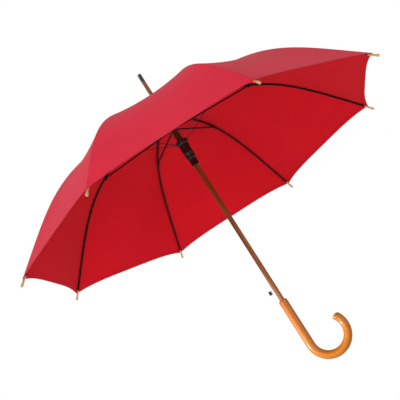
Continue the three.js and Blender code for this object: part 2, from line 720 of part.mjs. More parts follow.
const ribPieces = [
  ['rib_inner', innerRib(), darkSteel],
  ['rib_outer', outerRib(), darkSteel],
  ['rib_tip', ribTip(), tipWood],
  ['stretcher', stretcher(), darkSteel],
  ['link_wire', linkWire(), darkSteel],
];
const panel = canopyPanel();
for (let i = 0; i < RIB_COUNT; i++) {
  const azimuth = FIRST_RIB_AZIMUTH + i * RIB_SPACING;
  for (const [name, geometry, surface] of ribPieces) {
    place(`${name}_${i + 1}`, geometry, surface, azimuth);
  }
  place(`canopy_panel_${i + 1}`, panel, fabric, azimuth + RIB_SPACING / 2);
}

const STRAP_GORE = 2;
place('closure_strap', closureStrap(), fabric, FIRST_RIB_AZIMUTH + (STRAP_GORE + 0.5) * RIB_SPACING);

export default umbrella;
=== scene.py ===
"""Stick umbrella with an automatic runner: fabric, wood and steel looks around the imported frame.

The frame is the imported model's, in metres: +Z up the shaft, the crook towards +X, and the origin on
the shaft's axis at the middle of the grip. Turned profiles and the handle are listed in millimetres.
"""
import json
import math

import bpy
import numpy as np
from mathutils import Matrix, Vector


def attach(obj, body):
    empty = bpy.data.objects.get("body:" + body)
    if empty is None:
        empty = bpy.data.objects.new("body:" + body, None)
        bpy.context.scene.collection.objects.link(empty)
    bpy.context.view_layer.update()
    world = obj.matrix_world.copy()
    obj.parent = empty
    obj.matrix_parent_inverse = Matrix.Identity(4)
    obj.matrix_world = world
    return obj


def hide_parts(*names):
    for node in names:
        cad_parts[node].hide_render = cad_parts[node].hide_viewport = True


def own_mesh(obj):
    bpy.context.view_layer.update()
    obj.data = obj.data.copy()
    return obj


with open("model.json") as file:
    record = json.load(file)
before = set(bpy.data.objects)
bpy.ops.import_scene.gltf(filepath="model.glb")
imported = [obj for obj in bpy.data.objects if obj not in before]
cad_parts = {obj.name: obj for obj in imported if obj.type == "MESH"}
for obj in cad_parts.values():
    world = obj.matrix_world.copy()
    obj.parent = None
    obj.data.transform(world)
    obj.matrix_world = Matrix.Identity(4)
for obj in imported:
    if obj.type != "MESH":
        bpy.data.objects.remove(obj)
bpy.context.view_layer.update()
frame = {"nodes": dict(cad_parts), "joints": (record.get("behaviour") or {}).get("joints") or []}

MM = 0.001
RIB_COUNT = 8
HALF_GORE = math.pi / RIB_COUNT
JOINTS = {joint["name"]: joint for joint in frame["joints"]}

# ---- Camera, floor and light --------------------------------------------------------------

CAMERA_PLACE = Vector((0.2441, -2.0018, -0.1454))
CAMERA_RIGHT = Vector((0.8187, 0.2535, -0.5152))
CAMERA_UP = Vector((0.5579, -0.1388, 0.8183))
CAMERA_LENS_MM = 74.09
FLOOR_Z = -0.55
FLOOR_RADIUS = 2.3


def add_camera():
    camera = bpy.data.objects.new("camera", bpy.data.cameras.new("camera"))
    bpy.context.scene.collection.objects.link(camera)
    camera.data.sensor_width = 36
    camera.data.lens = CAMERA_LENS_MM
    back = CAMERA_RIGHT.cross(CAMERA_UP).normalized()
    right = CAMERA_UP.cross(back).normalized()
    axes = Matrix((right, back.cross(right), back)).transposed().to_4x4()
    camera.matrix_world = Matrix.Translation(CAMERA_PLACE) @ axes
    bpy.context.scene.camera = camera


def add_light(name, data, place, target, power):
    data.energy = power
    light = bpy.data.objects.new(name, data)
    light.location = place
    light.rotation_mode = "QUATERNION"
    light.rotation_quaternion = (Vector(target) - Vector(place)).to_track_quat("-Z", "Y")
    bpy.context.scene.collection.objects.link(light)


def add_area_light(name, place, target, size, power):
    data = bpy.data.lights.new(name, "AREA")
    data.shape = "DISK"
    data.size = size
    add_light(name, data, place, target, power)


def add_spot_light(name, place, target, power, cone):
    data = bpy.data.lights.new(name, "SPOT")
    data.spot_size = cone
    data.spot_blend = 0.7
    data.shadow_soft_size = 0.08
    add_light(name, data, place, target, power)


def add_world(seen=1.0, lighting=0.52):
    """A white backdrop, dimmer as a light than it looks, so that the softboxes shape the object."""
    world = bpy.data.worlds.new("studio")
    world.use_nodes = True
    tree = world.node_tree
    background = tree.nodes["Background"]
    background.inputs["Color"].default_value = (1, 1, 1, 1)
    path = tree.nodes.new("ShaderNodeLightPath")
    strength = tree.nodes.new("ShaderNodeMapRange")
    strength.inputs["To Min"].default_value = lighting
    strength.inputs["To Max"].default_value = seen
    tree.links.new(path.outputs["Is Camera Ray"], strength.inputs["Value"])
    tree.links.new(strength.outputs["Result"], background.inputs["Strength"])
    bpy.context.scene.world = world


def add_floor():
    mesh = bpy.data.meshes.new("floor")
    angles = np.linspace(0, 2 * math.pi, 97)[:-1]
    corners = [(math.cos(a) * FLOOR_RADIUS, math.sin(a) * FLOOR_RADIUS, FLOOR_Z) for a in angles]
    mesh.from_pydata(corners, [], [list(range(len(corners)))])
    floor = bpy.data.objects.new("floor", mesh)
    bpy.context.scene.collection.objects.link(floor)
    material, shader, _ = new_material("floor_white")
    shader.inputs["Base Color"].default_value = (0.9, 0.9, 0.9, 1)
    shader.inputs["Roughness"].default_value = 0.9
    mesh.materials.append(material)


# ---- Materials ----------------------------------------------------------------------------


def new_material(name):
    material = bpy.data.materials.new(name)
    material.use_nodes = True
    tree = material.node_tree
    return material, tree.nodes["Principled BSDF"], tree


def node(tree, kind, settings=None, **inputs):
    """A node with its settings and input values; an input given as a socket is linked."""
    made = tree.nodes.new(kind)
    for key, value in (settings or {}).items():
        setattr(made, key, value)
    for key, value in inputs.items():
        socket = made.inputs[key.replace("_", " ")]
        if isinstance(value, bpy.types.NodeSocket):
            tree.links.new(value, socket)
        else:
            socket.default_value = value
    return made


def ramp(tree, factor, stops):
    made = node(tree, "ShaderNodeValToRGB", Fac=factor)
    elements = made.color_ramp.elements
    while len(elements) < len(stops):
        elements.new(0.5)
    for element, (place, color) in zip(elements, stops):
        element.position = place
        element.color = (*color, 1)
    return made.outputs["Color"]


def math_node(tree, operation, a, b=0.0):
    made = tree.nodes.new("ShaderNodeMath")
    made.operation = operation
    for socket, value in zip(made.inputs, (a, b)):
        if isinstance(value, bpy.types.NodeSocket):
            tree.links.new(value, socket)
        else:
            socket.default_value = value
    return made.outputs["Value"]


def mapped(tree, source, scale):
    """Object or UV coordinates, stretched by a scale along each axis."""
    coordinates = tree.nodes.new("ShaderNodeTexCoord")
    mapping = node(tree, "ShaderNodeMapping", Vector=coordinates.outputs[source], Scale=scale)
    return mapping.outputs["Vector"]


def fabric_material(name, light, dark, sheen, roughness):
    """Plain-weave pongee: crossed threads in the UV directions, faint slubs and a soft sheen."""
    material, shader, tree = new_material(name)
    threads = []
    thread_pitch = 0.0006
    for scale in ((1 / thread_pitch, 0, 0), (0, 1 / thread_pitch, 0)):
        wave = node(tree, "ShaderNodeTexWave", {"wave_type": "BANDS", "bands_direction": "DIAGONAL"},
                    Vector=mapped(tree, "UV", scale), Scale=0.32, Distortion=0.0)
        threads.append(wave.outputs["Fac"])
    weave = math_node(tree, "MULTIPLY", threads[0], threads[1])
    slub = node(tree, "ShaderNodeTexNoise", Vector=mapped(tree, "UV", (900, 60, 1)), Scale=1.0, Detail=2.0)
    cloud = node(tree, "ShaderNodeTexNoise", Vector=mapped(tree, "Object", (1, 1, 1)), Scale=7.0, Detail=3.0)
    tone = math_node(tree, "ADD", math_node(tree, "MULTIPLY", slub.outputs["Fac"], 0.25),
                     math_node(tree, "MULTIPLY", cloud.outputs["Fac"], 0.75))
    tree.links.new(ramp(tree, tone, [(0.3, dark), (0.7, light)]), shader.inputs["Base Color"])
    bump = node(tree, "ShaderNodeBump", Strength=0.25, Distance=0.00008, Height=weave)
    tree.links.new(bump.outputs["Normal"], shader.inputs["Normal"])
    shader.inputs["Roughness"].default_value = roughness
    shader.inputs["Specular IOR Level"].default_value = 0.12
    shader.inputs["Sheen Weight"].default_value = sheen
    shader.inputs["Sheen Roughness"].default_value = 0.45
    shader.inputs["Sheen Tint"].default_value = (1.0, 0.72, 0.78, 1)
    return material


def wood_material(name, light, middle, dark, coat, roughness, scale=1.0):
    """Straight-grained wood under lacquer. The UV's second direction runs along the grain."""
    material, shader, tree = new_material(name)
    grain_place = mapped(tree, "UV", (260 * scale, 7 * scale, 1))
    grain = node(tree, "ShaderNodeTexNoise", Vector=grain_place, Scale=1.0, Detail=2.0, Roughness=0.5)
    broad_place = mapped(tree, "UV", (55 * scale, 2.2 * scale, 1))
    broad = node(tree, "ShaderNodeTexNoise", Vector=broad_place, Scale=1.0, Detail=2.0, Distortion=0.6)
    pore_place = mapped(tree, "UV", (900 * scale, 12 * scale, 1))
    pores = node(tree, "ShaderNodeTexNoise", Vector=pore_place, Scale=1.0, Detail=1.0)
    mix = math_node(tree, "ADD", math_node(tree, "MULTIPLY", grain.outputs["Fac"], 0.45),
                    math_node(tree, "MULTIPLY", broad.outputs["Fac"], 0.55))
    tree.links.new(ramp(tree, mix, [(0.40, dark), (0.5, middle), (0.59, light)]), shader.inputs["Base Color"])
    bump = node(tree, "ShaderNodeBump", Strength=0.02, Distance=0.000005, Height=pores.outputs["Fac"])
    tree.links.new(bump.outputs["Normal"], shader.inputs["Normal"])
    shader.inputs["Roughness"].default_value = roughness
    shader.inputs["Coat Weight"].default_value = coat
    shader.inputs["Coat Roughness"].default_value = 0.12
    shader.inputs["Specular IOR Level"].default_value = 0.2
    return material


def plain_material(name, color, spread, roughness, metallic, bump_scale, bump_depth, coat=0.0):
    """Moulded plastic or coated metal: mottled a little in colour, roughness and surface."""
    material, shader, tree = new_material(name)
    place = mapped(tree, "Object", (1, 1, 1))
    speck = node(tree, "ShaderNodeTexNoise", Vector=place, Scale=bump_scale, Detail=4.0)
    low = tuple(c * (1 - spread) for c in color)
    high = tuple(c * (1 + spread) for c in color)
    tree.links.new(ramp(tree, speck.outputs["Fac"], [(0.35, low), (0.65, high)]), shader.inputs["Base Color"])
    rough = node(tree, "ShaderNodeMapRange", Value=speck.outputs["Fac"])
    rough.inputs["To Min"].default_value = roughness * 0.8
    rough.inputs["To Max"].default_value = roughness * 1.2
    tree.links.new(rough.outputs["Result"], shader.inputs["Roughness"])
    bump = node(tree, "ShaderNodeBump", Strength=0.2, Distance=bump_depth, Height=speck.outputs["Fac"])
    tree.links.new(bump.outputs["Normal"], shader.inputs["Normal"])
    shader.inputs["Metallic"].default_value = metallic
    shader.inputs["Coat Weight"].default_value = coat
    return material


# Both faces are one cloth. The inside's base is a brighter red than the outside's: painted light, standing in
# for the glow of light shining through the cloth onto its shaded side.
FABRIC_OUT = fabric_material("fabric_outside", (0.58, 0.010, 0.034), (0.53, 0.008, 0.028), 0.07, 0.7)
FABRIC_IN = fabric_material("fabric_inside", (0.66, 0.006, 0.016), (0.60, 0.005, 0.013), 0.02, 0.85)
THREAD = fabric_material("thread", (0.34, 0.006, 0.014), (0.28, 0.005, 0.010), 0.1, 0.7)
HANDLE_WOOD = wood_material("handle_wood", (0.43, 0.155, 0.006), (0.38, 0.115, 0.004),
                            (0.31, 0.078, 0.003), 0.25, 0.35)
SHAFT_WOOD = wood_material("shaft_wood", (0.27, 0.078, 0.008), (0.19, 0.046, 0.005),
                           (0.12, 0.024, 0.003), 0.15, 0.4)
TIP_WOOD = wood_material("tip_wood", (0.72, 0.42, 0.18), (0.60, 0.32, 0.12),
                         (0.45, 0.22, 0.08), 0.3, 0.4, 2.0)
BLACK_PLASTIC = plain_material("black_plastic", (0.006, 0.006, 0.007), 0.25, 0.28, 0.0, 700, 0.00003)
DARK_STEEL = plain_material("dark_steel", (0.012, 0.006, 0.006), 0.3, 0.35, 0.4, 500, 0.00003)
BRIGHT_STEEL = plain_material("bright_steel", (0.60, 0.60, 0.62), 0.1, 0.25, 1.0, 400, 0.00002)

# ---- Meshes -------------------------------------------------------------------------------


def add_piece(name, vertices, faces, materials, body, slot, face_materials=None, normals=None, uvs=None,
              cutters=None, crease=None):
    """A mesh piece that rides on a body.

    normals holds one for each vertex, and uvs one for each vertex or one for each face corner. cutters are
    boxes taken out of the piece, and crease is the angle, in degrees, above which an edge stays sharp.
    """
    mesh = bpy.data.meshes.new(name)
    mesh.from_pydata([tuple(v) for v in vertices], [], faces)
    for material in materials:
        mesh.materials.append(material)
    if face_materials is not None:
        mesh.polygons.foreach_set("material_index", face_materials)
    if uvs is not None:
        layer = mesh.uv_layers.new(name="UVMap")
        per_corner = len(uvs) == len(mesh.loops) and len(uvs) != len(mesh.vertices)
        for loop in mesh.loops:
            layer.data[loop.index].uv = uvs[loop.index if per_corner else loop.vertex_index]
    mesh.update()
    if cutters:
        mesh = carved(mesh, cutters)
        mesh.name = name
    mesh.polygons.foreach_set("use_smooth", [True] * len(mesh.polygons))
    if crease is not None:
        mesh.set_sharp_from_angle(angle=math.radians(crease))
    mesh.update()
    if normals is not None:
        mesh.normals_split_custom_set_from_vertices([tuple(n) for n in normals])
    piece = bpy.data.objects.new(name, mesh)
    bpy.context.scene.collection.objects.link(piece)
    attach(piece, body)
    return piece


def carved(mesh, boxes):
    """The mesh less a set of boxes, each given as eight corners."""
    work = bpy.data.objects.new("carved", mesh)
    bpy.context.scene.collection.objects.link(work)
    for corners in boxes:
        tool_mesh = bpy.data.meshes.new("cutter")
        sides = [(0, 2, 3, 1), (4, 5, 7, 6), (0, 1, 5, 4), (2, 6, 7, 3), (0, 4, 6, 2), (1, 3, 7, 5)]
        tool_mesh.from_pydata([tuple(corner) for corner in corners], [], sides)
        tool = bpy.data.objects.new("cutter", tool_mesh)
        bpy.context.scene.collection.objects.link(tool)
        modifier = work.modifiers.new("cut", "BOOLEAN")
        modifier.operation = "DIFFERENCE"
        modifier.solver = "EXACT"
        modifier.object = tool
        evaluated = work.evaluated_get(bpy.context.evaluated_depsgraph_get())
        result = bpy.data.meshes.new_from_object(evaluated)
        work.modifiers.clear()
        work.data = result
        bpy.data.objects.remove(tool)
        bpy.data.meshes.remove(tool_mesh)
    bpy.data.objects.remove(work)
    return result


def block(low, high, azimuth=0.0):
    """Eight corners of a box, in millimetres, turned round the shaft."""
    corners = [(x, y, z) for z in (low[2], high[2]) for y in (low[1], high[1]) for x in (low[0], high[0])]
    return rotated(np.array(corners) * MM, azimuth)


def rounded(profile):
    """A profile of (radius, height, fillet) corners, with each fillet drawn as a short curve."""
    points = [np.array(corner[:2], float) for corner in profile]
    result = []
    for i, corner in enumerate(profile):
        fillet = corner[2] if len(corner) > 2 else 0
        if fillet == 0:
            result.append(points[i])
            continue
        before = unit(points[i - 1] - points[i]) * fillet
        after = unit(points[(i + 1) % len(points)] - points[i]) * fillet
        for t in np.linspace(0, 1, 5):
            result.append(points[i] + before * (1 - t) ** 2 + after * t * t)
    return result


def turned(profile, segments=48, loop=True):
    """Vertices, faces and corner UVs of a solid turned round +Z, from (radius, height) points.

    Points on the axis become poles. With loop, the profile is closed on itself.
    """
    vertices = []
    rings = []
    for radius, z in profile:
        if radius < 1e-6:
            rings.append([len(vertices)] * segments)
            vertices.append((0, 0, z))
            continue
        rings.append(list(range(len(vertices), len(vertices) + segments)))
        for j in range(segments):
            angle = 2 * math.pi * j / segments
            vertices.append((radius * math.cos(angle), radius * math.sin(angle), z))
    length = [0.0]
    for (r0, z0), (r1, z1) in zip(profile, profile[1:] + profile[:1]):
        length.append(length[-1] + math.hypot(r1 - r0, z1 - z0))
    girth = 2 * math.pi * max(r for r, _ in profile)
    faces = []
    uvs = []
    pairs = list(zip(range(len(rings)), list(range(1, len(rings))) + [0]))
    for i, k in pairs if loop else pairs[:-1]:
        for j in range(segments):
            n = (j + 1) % segments
            corners = [(rings[i][j], j, 0), (rings[i][n], j + 1, 0),
                       (rings[k][n], j + 1, 1), (rings[k][j], j, 1)]
            kept = []
            for corner in corners:
                if corner[0] not in [c[0] for c in kept]:
                    kept.append(corner)
            if len(kept) < 3:
                continue
            faces.append(tuple(c[0] for c in kept))
            uvs += [(girth * c[1] / segments, length[i + c[2]]) for c in kept]
    return np.array(vertices) * MM, faces, np.array(uvs) * MM


def swept(centres, sides, ups, sections):
    """Vertices, faces and corner UVs of a section swept through frames, with flat ends."""
    count = len(sections[0])
    vertices = []
    for centre, side, up, section in zip(centres, sides, ups, sections):
        vertices += [centre + side * a + up * b for a, b in section]
    steps = np.linalg.norm(np.diff(np.array(centres), axis=0), axis=1)
    length = np.concatenate([[0], np.cumsum(steps)])
    edge = np.array(sections[0] + [sections[0][0]])
    girth = np.concatenate([[0], np.cumsum(np.linalg.norm(np.diff(edge, axis=0), axis=1))])
    faces = []
    uvs = []
    for i in range(len(centres) - 1):
        for j in range(count):
            k = (j + 1) % count
            faces.append((i * count + j, i * count + k, (i + 1) * count + k, (i + 1) * count + j))
            uvs += [(girth[j], length[i]), (girth[j + 1], length[i]), (girth[j + 1], length[i + 1]),
                    (girth[j], length[i + 1])]
    last = (len(centres) - 1) * count
    faces += [tuple(reversed(range(count))), tuple(last + j for j in range(count))]
    uvs += [tuple(p) for p in reversed(edge[:-1])] + [tuple(p) for p in edge[:-1]]
    return np.array(vertices), faces, np.array(uvs)


def ring_section(radius, sides):
    return [(radius * math.cos(2 * math.pi * j / sides), radius * math.sin(2 * math.pi * j / sides))
            for j in range(sides)]


def torus(centre, side, up, radius, wire, segments=24, sides=8):
    """A ring of round wire in the plane of two directions."""
    axis = np.cross(side, up)
    vertices = []
    faces = []
    for i in range(segments):
        out = side * math.cos(2 * math.pi * i / segments) + up * math.sin(2 * math.pi * i / segments)
        vertices += [centre + out * (radius + a) + axis * b for a, b in ring_section(wire, sides)]
    for i in range(segments):
        for j in range(sides):
            k, m = (j + 1) % sides, (i + 1) % segments
            faces.append((i * sides + k, i * sides + j, m * sides + j, m * sides + k))
    return vertices, faces


def rotated(points, azimuth):
    c, s = math.cos(azimuth), math.sin(azimuth)
    turn = np.array([[c, s, 0], [-s, c, 0], [0, 0, 1]])
    return np.asarray(points) @ turn


def unit(vectors):
    return vectors / np.maximum(np.linalg.norm(vectors, axis=-1, keepdims=True), 1e-12)


# ---- Canopy lines -------------------------------------------------------------------------


def joint_point(name):
    """A joint's place in its rib's vertical plane: distance from the axis, and height."""
    x, y, z = JOINTS[name]["pos_m"]
    return np.array([math.hypot(x, y), z])


def rib_azimuth(k):
    x, y, _ = JOINTS[f"stretcher_pivot_{k}"]["pos_m"]
    return math.atan2(y, x)


def fold_joint(k):
    return "canopy_fold" if k == 1 else f"rib_fold_{k}"


JOINT_PIVOT = joint_point("stretcher_pivot_1")
SLOPE_AT_JOINT = math.radians(18.3)
SLOPE_AT_END = math.radians(44.8)
APEX_Z = 637.6 * MM
CANOPY_CORNER = np.array([520.3, 405.3]) * MM
CANOPY_HOLE = 7.5 * MM
PANEL_SAG = 9 * MM
HEM_SCALLOP = 0.021


def downhill(point, angle, distance):
    return point + distance * np.array([math.cos(angle), -math.sin(angle)])


def bezier(points, count=400):
    t = np.linspace(0, 1, count)[:, None]
    a, b, c, d = points
    return (1 - t) ** 3 * a + 3 * t * (1 - t) ** 2 * b + 3 * t * t * (1 - t) * c + t**3 * d


def fabric_line():
    """The fabric's line over a rib, and the share of its length at which it passes the joint."""
    joint = JOINT_PIVOT + np.array([0.9, 4.6]) * MM
    inner = bezier([np.array([0, APEX_Z]), np.array([92 * MM, APEX_Z + 0.8 * MM]),
                    downhill(joint, SLOPE_AT_JOINT, -72 * MM), joint])
    outer = bezier([joint, downhill(joint, SLOPE_AT_JOINT, 112 * MM),
                    downhill(CANOPY_CORNER, SLOPE_AT_END, -152 * MM), CANOPY_CORNER])
    line = np.vstack([inner, outer[1:]])
    length = np.concatenate([[0], np.cumsum(np.linalg.norm(np.diff(line, axis=0), axis=1))])
    return line, length / length[-1], length[len(inner) - 1] / length[-1], length[-1]


LINE, LINE_SHARE, JOINT_SHARE, LINE_LENGTH = fabric_line()
HOLE_SHARE = CANOPY_HOLE / math.cos(HALF_GORE) / LINE_LENGTH
JOINT_ALONG = (JOINT_SHARE - HOLE_SHARE) / (1 - HOLE_SHARE)


def gore_points(along, across):
    """Points of a gore's middle surface, in the frame where the gore's middle lies along +X.

    along is 0 at the shaft and 1 at the hem, and across runs from -1 to 1 between the two ribs.
    """
    hem = 1 - HEM_SCALLOP * (1 - across**4)
    share = HOLE_SHARE + (hem - HOLE_SHARE) * along
    radius = np.interp(share, LINE_SHARE, LINE[:, 0])
    height = np.interp(share, LINE_SHARE, LINE[:, 1])
    ahead = np.clip(share + 0.004, 0, 1)
    behind = np.clip(share - 0.004, 0, 1)
    rise = np.interp(ahead, LINE_SHARE, LINE[:, 1]) - np.interp(behind, LINE_SHARE, LINE[:, 1])
    run = np.interp(ahead, LINE_SHARE, LINE[:, 0]) - np.interp(behind, LINE_SHARE, LINE[:, 0])
    normal = unit(np.stack([-rise * math.cos(HALF_GORE), np.zeros_like(run), run], -1))
    points = np.stack([radius * math.cos(HALF_GORE), across * radius * math.sin(HALF_GORE), height], -1)
    sag = PANEL_SAG * np.sin(math.pi * share) * (1 - across**2)
    return points - normal * sag[..., None]


def gore_normals(along, across):
    step = 2e-3
    du = gore_points(np.minimum(along + step, 1), across) - gore_points(np.maximum(along - step, 0), across)
    dv = gore_points(along, np.minimum(across + step, 1)) - gore_points(along, np.maximum(across - step, -1))
    normal = unit(np.cross(du, dv))
    return normal * np.where(normal[..., 2:] < 0, -1.0, 1.0)


# ---- Folding ------------------------------------------------------------------------------


def turn_about(joint, angle):
    place = Vector(joint["pos_m"])
    turn = Matrix.Rotation(angle, 4, Vector(joint["axis"]))
    return Matrix.Translation(place) @ turn @ Matrix.Translation(-place)


def closed_matrices(k):
    """Where the inner and the outer half of rib k go when the umbrella is closed."""
    fold = JOINTS[fold_joint(k)]
    flex = JOINTS[f"rib_flex_{k}"]
    inner = turn_about(fold, math.radians(fold["range_deg"][1]))
    outer = inner @ turn_about(flex, math.radians(flex["range_deg"][0] + 0.05))
    return {"inner": inner, "outer": outer}


PLEAT_ACROSS = 11.6 * MM
PLEAT_OUT = 6.6 * MM


def pleat(piece, k, side, part):
    """Works out the squash that would fold half a gore towards its rib, so that the gore's middle would
    become a pleat beside the rib, and gives the piece a mesh of its own. The squash itself is not applied.

    The squash's axis is square to the rib, so that cloth over the rib stays where it is. It runs from
    the gore's middle, at the joint's height, towards the place beside the rib where the pleat's edge goes.
    """
    azimuth = rib_azimuth(k)
    closed = closed_matrices(k)
    reach = np.linspace(0, JOINT_ALONG, 20) if part == "inner" else np.linspace(JOINT_ALONG, 1, 20)
    over_rib = rotated(gore_points(reach, np.full(20, -float(side))), azimuth + side * HALF_GORE)
    anchor = Vector(over_rib[-1] if part == "inner" else over_rib[0])
    chord = Vector(over_rib[-1] - over_rib[0]).normalized()
    middle = Vector(rotated(gore_points(np.array([JOINT_ALONG]), np.zeros(1)), azimuth + side * HALF_GORE)[0])
    across = Vector((-math.sin(azimuth), math.cos(azimuth), 0)) * side
    outwards = Vector((math.cos(azimuth), math.sin(azimuth), 0))
    shift = across * PLEAT_ACROSS + outwards * PLEAT_OUT
    way = middle - closed[part].inverted() @ (closed["inner"] @ anchor + shift)
    way -= chord * way.dot(chord)
    axis = way.normalized()
    offsets = [(Vector(point) - anchor).dot(axis) for point in over_rib]
    anchor = anchor + axis * (min(offsets) + max(offsets)) / 2
    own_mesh(piece)


# ---- Canopy -------------------------------------------------------------------------------

FABRIC = 0.4 * MM
HEM_WIDTH = 9 * MM
HEM_THICKNESS = 1.1 * MM
SEAM_THICKNESS = 0.9 * MM
BAND_HALF_WIDTH = 7 * MM
TUCK_DEPTH = 0.44 * MM
TUCK_THICKNESS = 0.1 * MM
TUCK_ALONG = 0.024
STITCH_PITCH = 3.4 * MM
STITCH_RADIUS = 0.22 * MM
PANELS = [f"canopy_panel_{k}" for k in range(1, RIB_COUNT + 1)]


def line_radius(along):
    return np.interp(HOLE_SHARE + (1 - HOLE_SHARE) * along, LINE_SHARE, LINE[:, 0])


def band_share(along):
    """How much of a half gore's width belongs to the band over the rib."""
    half_width = line_radius(along) * math.sin(HALF_GORE)
    return np.minimum(BAND_HALF_WIDTH, 0.45 * half_width) / half_width


def shell_piece(name, middle, normal, thickness_below, body, along, across):
    """A closed sheet of cloth over a grid of points, shaded smoothly from one piece to the next."""
    rows, columns = along.shape
    top = middle + normal * FABRIC / 2
    bottom = top - normal * thickness_below[..., None]
    vertices = np.concatenate([top.reshape(-1, 3), bottom.reshape(-1, 3)])
    normals = np.concatenate([normal.reshape(-1, 3), -normal.reshape(-1, 3)])
    count = rows * columns
    faces = []
    kinds = []
    index = np.arange(count).reshape(rows, columns)
    for i in range(rows - 1):
        for j in range(columns - 1):
            a, b, c, d = index[i, j], index[i + 1, j], index[i + 1, j + 1], index[i, j + 1]
            faces += [(a, b, c, d), (d + count, c + count, b + count, a + count)]
            kinds += [0, 1]
    rim = list(index[0, :]) + list(index[1:, -1]) + list(index[-1, -2::-1]) + list(index[-2:0:-1, 0])
    for a, b in zip(rim, rim[1:] + rim[:1]):
        faces.append((a, b, b + count, a + count))
        kinds.append(0)
    first = np.cross(middle[1, 0] - middle[0, 0], middle[0, 1] - middle[0, 0])
    if first @ normal[0, 0] < 0:
        faces = [tuple(reversed(face)) for face in faces]
    uv = np.stack([across * line_radius(along) * math.sin(HALF_GORE), along * LINE_LENGTH], -1).reshape(-1, 2)
    faces = [tuple(int(i) for i in face) for face in faces]
    piece = add_piece(name, vertices, faces, [FABRIC_OUT, FABRIC_IN], body, "fabric", kinds, normals,
                      np.concatenate([uv, uv]))
    return piece


def stitches(name, points, normals, body):
    """Thread dashes along a line of points, one short rounded bar for each stitch."""
    length = np.concatenate([[0], np.cumsum(np.linalg.norm(np.diff(points, axis=0), axis=1))])
    count = int(length[-1] / STITCH_PITCH)
    vertices = []
    faces = []
    for i in range(count):
        ends = [(i + 0.18) * STITCH_PITCH, (i + 0.82) * STITCH_PITCH]
        a, b = [np.array([np.interp(e, length, points[:, c]) for c in range(3)]) for e in ends]
        up = unit(np.array([np.interp(ends[0], length, normals[:, c]) for c in range(3)]))
        forward = unit(b - a)
        side = np.cross(forward, up)
        base = len(vertices)
        for share, scale in ((-0.06, 0.35), (0.15, 1.0), (0.85, 1.0), (1.06, 0.35)):
            centre = a + (b - a) * share
            for angle in (0, 1, 2, 3, 4, 5):
                turn = angle * math.pi / 3
                offset = (side * math.cos(turn) + up * math.sin(turn)) * STITCH_RADIUS * scale
                vertices.append(centre + offset)
        for ring in range(3):
            for j in range(6):
                k = (j + 1) % 6
                first = base + ring * 6
                faces.append((first + j, first + k, first + 6 + k, first + 6 + j))
        faces.append(tuple(base + j for j in reversed(range(6))))
        faces.append(tuple(base + 18 + j for j in range(6)))
    return add_piece(name, vertices, faces, [THREAD], body, "fabric")


def wing_rows(part):
    if part == "inner":
        return np.linspace(0, JOINT_ALONG, 18)
    hem_start = 1 - HEM_WIDTH / LINE_LENGTH
    return np.concatenate([np.linspace(JOINT_ALONG, hem_start, 26), [hem_start + 0.0008],
                           np.linspace(hem_start + 0.0008, 1, 4)[1:]])


def hem_thickness(along):
    return np.where(along > 1 - HEM_WIDTH / LINE_LENGTH + 0.0004, HEM_THICKNESS, FABRIC)


def add_wing(k, side, part):
    """Half a gore beside rib k, from the rib's band to the gore's middle."""
    azimuth = rib_azimuth(k) + side * HALF_GORE
    rows = wing_rows(part)
    share = np.linspace(0, 1, 14)
    along = np.repeat(rows[:, None], len(share) + 2, 1)
    start = band_share(rows)[:, None]
    out = start * 1.02 + (1 - start * 1.02) * share[None, :]
    out = np.concatenate([start * 0.56, start * 0.98, out], 1)
    across = -side * (1 - out)
    sunk = np.zeros_like(along)
    sunk[:, :2] = TUCK_DEPTH
    if part == "outer":
        tucked = along[:1] - TUCK_ALONG * out[:1]
        along = np.concatenate([tucked, along[:1] - 0.0004, along[:1] + 0.0004, along[1:]])
        across = np.concatenate([across[:1], across[:1], across])
        sunk = np.concatenate([np.full((2, sunk.shape[1]), TUCK_DEPTH), sunk])
    side_name = "left" if side > 0 else "right"
    body = f"{part}_rib_{k}"
    name = f"gore_{part}_{k}_{side_name}"
    normal = rotated(gore_normals(along, across), azimuth)
    middle = rotated(gore_points(along, across), azimuth) - normal * sunk[..., None]
    thickness = np.where(sunk > 0, TUCK_THICKNESS, hem_thickness(along))
    piece = shell_piece(name, middle, normal, thickness, body, along, across)
    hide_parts(PANELS[(k - 1) if side > 0 else (k - 2) % RIB_COUNT])
    trims = []
    if part == "outer":
        stitch_along = np.full(60, 1 - 0.75 * HEM_WIDTH / LINE_LENGTH)
        stitch_across = np.linspace(across[-1, 2], 0, 60)
        points = rotated(gore_points(stitch_along, stitch_across), azimuth)
        normals = rotated(gore_normals(stitch_along, stitch_across), azimuth)
        for face, lift in (("out", FABRIC / 2), ("in", FABRIC / 2 - HEM_THICKNESS)):
            hem = f"hem_stitch_{face}_{k}_{side_name}"
            trims.append(stitches(hem, points + normals * lift, normals, body))
    for part_piece in [piece, *trims]:
        pleat(part_piece, k, side, part)


